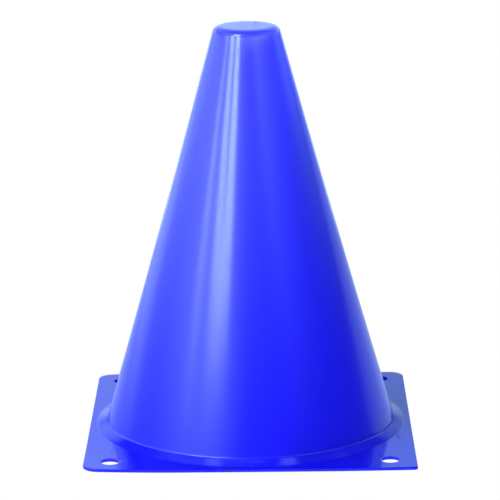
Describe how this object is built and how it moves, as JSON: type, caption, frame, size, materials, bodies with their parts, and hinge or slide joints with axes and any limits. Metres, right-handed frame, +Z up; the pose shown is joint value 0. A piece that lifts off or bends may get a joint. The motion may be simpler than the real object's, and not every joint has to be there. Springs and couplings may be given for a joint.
{
  "type": "traffic cone",
  "caption": "Small hollow marker cone in thin glossy blue plastic, with a rounded closed top and a flat square base that has a round hole near each corner.",
  "frame": {"origin": "on the floor at the centre of the square base, under the tip of the cone", "axes": "+Z up along the cone's axis; X left to right and Y front to back, along the base's sides"},
  "size_m": [0.1416, 0.1416, 0.178],
  "materials": {
    "blue_plastic": "glossy, very slightly translucent"
  },
  "bodies": {
    "root": {"crown": "blue_plastic", "cone_wall": "blue_plastic", "foot_flare": "blue_plastic", "base_flange": "blue_plastic"}
  },
  "joints": []
}
